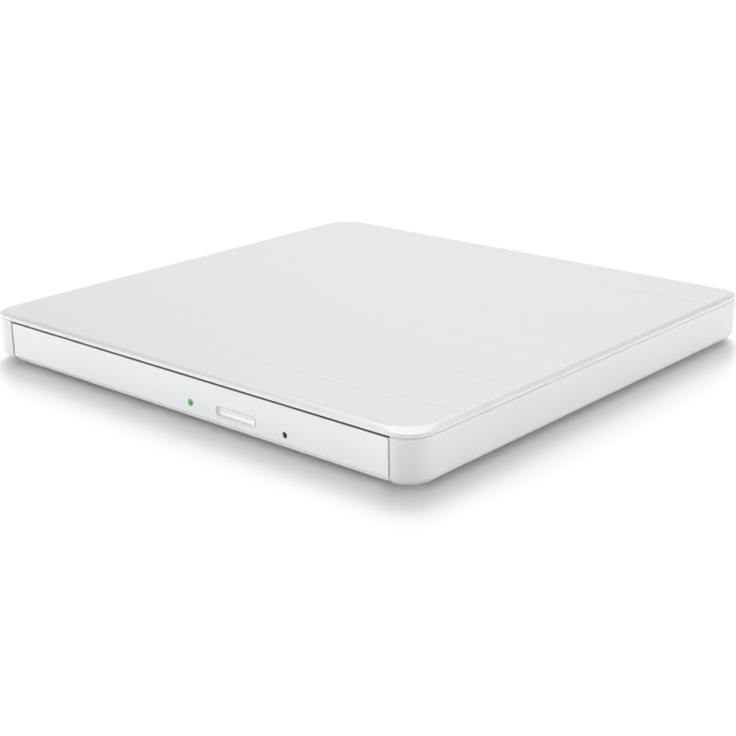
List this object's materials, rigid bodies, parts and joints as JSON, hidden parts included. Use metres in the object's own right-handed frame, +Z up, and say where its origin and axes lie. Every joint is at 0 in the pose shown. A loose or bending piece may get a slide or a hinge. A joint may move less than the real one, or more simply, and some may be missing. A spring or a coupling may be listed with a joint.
{
  "type": "external dvd drive",
  "caption": "Slim external optical disc drive: flat, nearly square case with a chamfered lid, rounded bottom edge and a sliding disc tray behind a long front plate.",
  "frame": {"origin": "middle of the footprint, on the surface that the rubber feet stand on", "axes": "+Z up, -Y out of the front where the tray opens, +X to the right seen from the front"},
  "size_m": [0.144, 0.1376, 0.013],
  "materials": {
    "lid_white": "fine brushed satin",
    "case_white": "satin moulded",
    "bezel_white": "semi-gloss moulded",
    "rubber_grey": "matt",
    "steel": "plated sheet",
    "dark_steel": "dark plated",
    "polished_steel": "ground",
    "black_plastic": "moulded",
    "grey_plastic": "moulded",
    "board_green": "solder mask",
    "chip_black": "moulded",
    "connector_black": "moulded",
    "copper": "enamelled wire",
    "cable_white": "laminated",
    "led_green": "lit",
    "lens_glass": "coated",
    "cast_zinc": "die cast",
    "magnet": "nickel plated",
    "amber_plastic": "moulded"
  },
  "bodies": {
    "case": {"top_cover": "lid_white", "bottom_case": "case_white", "rubber_feet": "rubber_grey", "case_screws": "dark_steel", "rear_screws": "dark_steel", "bridge_board": "board_green", "bridge_chips": "chip_black", "usb_port": "steel", "link_plug": "connector_black", "link_socket": "connector_black", "link_board": "board_green", "drive_chassis": "steel", "drive_top_sheet": "steel", "left_rail_guide": "black_plastic", "right_rail_guide": "black_plastic", "lock_post": "polished_steel", "ejector_housing": "black_plastic", "ejector_spring": "polished_steel", "flat_cable": "cable_white"},
    "left_rail": {"left_slide_rail": "steel"},
    "right_rail": {"right_slide_rail": "steel"},
    "ejector": {"ejector_pusher": "grey_plastic"},
    "tray": {"tray": "black_plastic", "tray_bezel": "bezel_white", "front_board_parts": "black_plastic", "light_pipe": "led_green", "front_board": "board_green", "tray_bottom_sheet": "steel", "mechanism_cover": "dark_steel", "main_board": "board_green", "main_board_chips": "chip_black", "tray_screws": "dark_steel", "solenoid_body": "copper", "lock_spring": "polished_steel", "mechanism_frame": "steel", "guide_rods": "polished_steel", "sled_motor": "steel", "dampers": "rubber_grey", "spindle_base": "steel", "stator_core": "dark_steel", "stator_windings": "copper"},
    "button": {"eject_button": "bezel_white", "switch_cap": "grey_plastic"},
    "lever": {"lock_lever": "grey_plastic"},
    "plunger": {"solenoid_plunger": "dark_steel"},
    "release": {"release_slider": "grey_plastic"},
    "sled_screw": {"lead_screw": "polished_steel"},
    "pickup": {"pickup_body": "cast_zinc", "sled_rack": "amber_plastic", "actuator_magnets": "magnet", "actuator_cover": "dark_steel"},
    "lens": {"lens_holder": "black_plastic", "objective_lens": "lens_glass"},
    "spindle": {"spindle_rotor": "steel", "turntable": "black_plastic", "friction_ring": "rubber_grey", "claw_springs": "polished_steel"},
    "claw_a": {"chuck_claw_a": "grey_plastic"},
    "claw_b": {"chuck_claw_b": "grey_plastic"},
    "claw_c": {"chuck_claw_c": "grey_plastic"}
  },
  "joints": [
    {"name": "tray_slide", "type": "slide", "parent": "case", "child": "tray", "axis": [0, -1, 0], "range_m": [0, 0.126], "deforming": ["flat_cable"]},
    {"name": "left_rail_slide", "type": "slide", "parent": "case", "child": "left_rail", "axis": [0, -1, 0], "range_m": [0, 0.063]},
    {"name": "right_rail_slide", "type": "slide", "parent": "case", "child": "right_rail", "axis": [0, -1, 0], "range_m": [0, 0.063]},
    {"name": "ejector_slide", "type": "slide", "parent": "case", "child": "ejector", "axis": [0, -1, 0], "range_m": [0, 0.012], "deforming": ["ejector_spring"]},
    {"name": "button_press", "type": "slide", "parent": "tray", "child": "button", "axis": [0, 1, 0], "range_m": [0, 0.0004], "stiffness_N_per_m": 1500},
    {"name": "lever_turn", "type": "hinge", "parent": "tray", "child": "lever", "pos_m": [0.0467, -0.04075, 0.0046], "axis": [0, 0, 1], "range_deg": [0, 12], "deforming": ["lock_spring"]},
    {"name": "plunger_slide", "type": "slide", "parent": "tray", "child": "plunger", "axis": [0, -1, 0], "range_m": [0, 0.00147]},
    {"name": "release_slide", "type": "slide", "parent": "tray", "child": "release", "axis": [0, -1, 0], "range_m": [0, 0.0027]},
    {"name": "pickup_slide", "type": "slide", "parent": "tray", "child": "pickup", "axis": [-0.7071, -0.7071, 0], "range_m": [0, 0.035]},
    {"name": "screw_turn", "type": "hinge", "parent": "tray", "child": "sled_screw", "pos_m": [0.01224, -0.03019, 0.00525], "axis": [-0.7071, -0.7071, 0], "range_deg": [-4201, 0]},
    {"name": "lens_focus", "type": "slide", "parent": "pickup", "child": "lens", "axis": [0, 0, 1], "range_m": [-0.0004, 0.0004], "stiffness_N_per_m": 200},
    {"name": "spindle_spin", "type": "hinge", "parent": "tray", "child": "spindle", "pos_m": [0.0017, -0.00325, 0.0082], "axis": [0, 0, 1], "continuous": true},
    {"name": "claw_a_slide", "type": "slide", "parent": "spindle", "child": "claw_a", "axis": [0.7071, 0.7071, 0], "range_m": [0, 0.0006], "stiffness_N_per_m": 400, "deforming": ["claw_springs"]},
    {"name": "claw_b_slide", "type": "slide", "parent": "spindle", "child": "claw_b", "axis": [-0.9659, 0.2588, 0], "range_m": [0, 0.0006], "stiffness_N_per_m": 400},
    {"name": "claw_c_slide", "type": "slide", "parent": "spindle", "child": "claw_c", "axis": [0.2588, -0.9659, 0], "range_m": [0, 0.0006], "stiffness_N_per_m": 400}
  ],
  "couplings": [
    {"joint": "left_rail_slide", "follows": "tray_slide", "ratio": 0.5},
    {"joint": "right_rail_slide", "follows": "tray_slide", "ratio": 0.5},
    {"joint": "ejector_slide", "follows": "tray_slide", "ratio": 0.095},
    {"joint": "lever_turn", "follows": "plunger_slide", "rad_per_m": 142.86},
    {"joint": "release_slide", "follows": "plunger_slide", "ratio": 1.7143},
    {"joint": "screw_turn", "follows": "pickup_slide", "rad_per_m": -2094.4}
  ]
}
